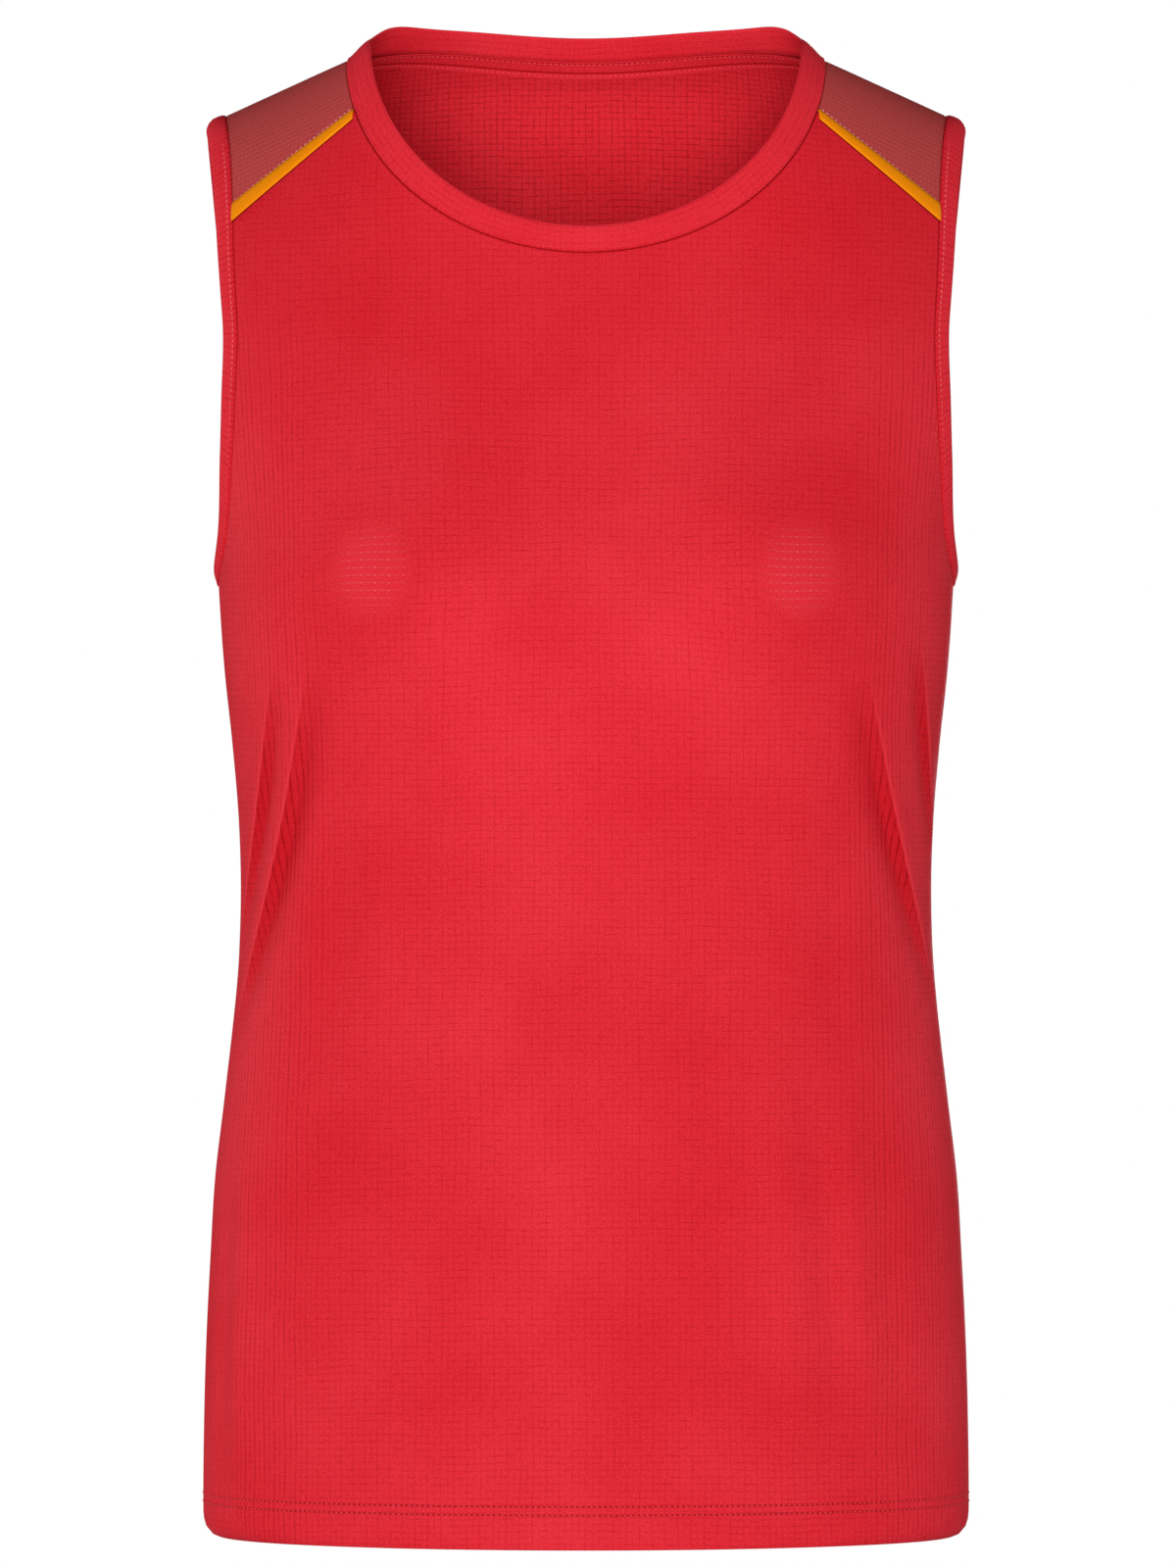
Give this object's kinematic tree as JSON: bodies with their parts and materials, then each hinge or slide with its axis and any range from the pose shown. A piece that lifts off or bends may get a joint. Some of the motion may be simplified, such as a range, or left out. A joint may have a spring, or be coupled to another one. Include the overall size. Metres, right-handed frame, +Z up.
{
  "type": "running singlet",
  "caption": "Sleeveless running singlet in its worn, hollow shape, with shoulder yokes, piping and bound neck and armholes.",
  "frame": {"origin": "midway between the two shoulder ridges, level with the ridge at the neck seam, where the wearer's shoulders hold the singlet", "axes": "+Z up towards the neck; the front faces -Y; +X towards the wearer's left side"},
  "size_m": [0.3358, 0.2228, 0.6623],
  "materials": {
    "check_knit": "red polyester knit with a fine raised micro check and a soft sheen",
    "marl_knit": "dusty red marl knit with fine diagonal dots, matt",
    "piping": "bright orange folded piping, smooth"
  },
  "bodies": {
    "root": {"front": "check_knit", "back": "check_knit", "yoke_left": "marl_knit", "yoke_right": "marl_knit", "piping_left": "piping", "piping_right": "piping", "neck_binding": "check_knit", "neck_tape": "check_knit", "armhole_binding_left": "check_knit", "armhole_binding_right": "check_knit"}
  },
  "joints": []
}
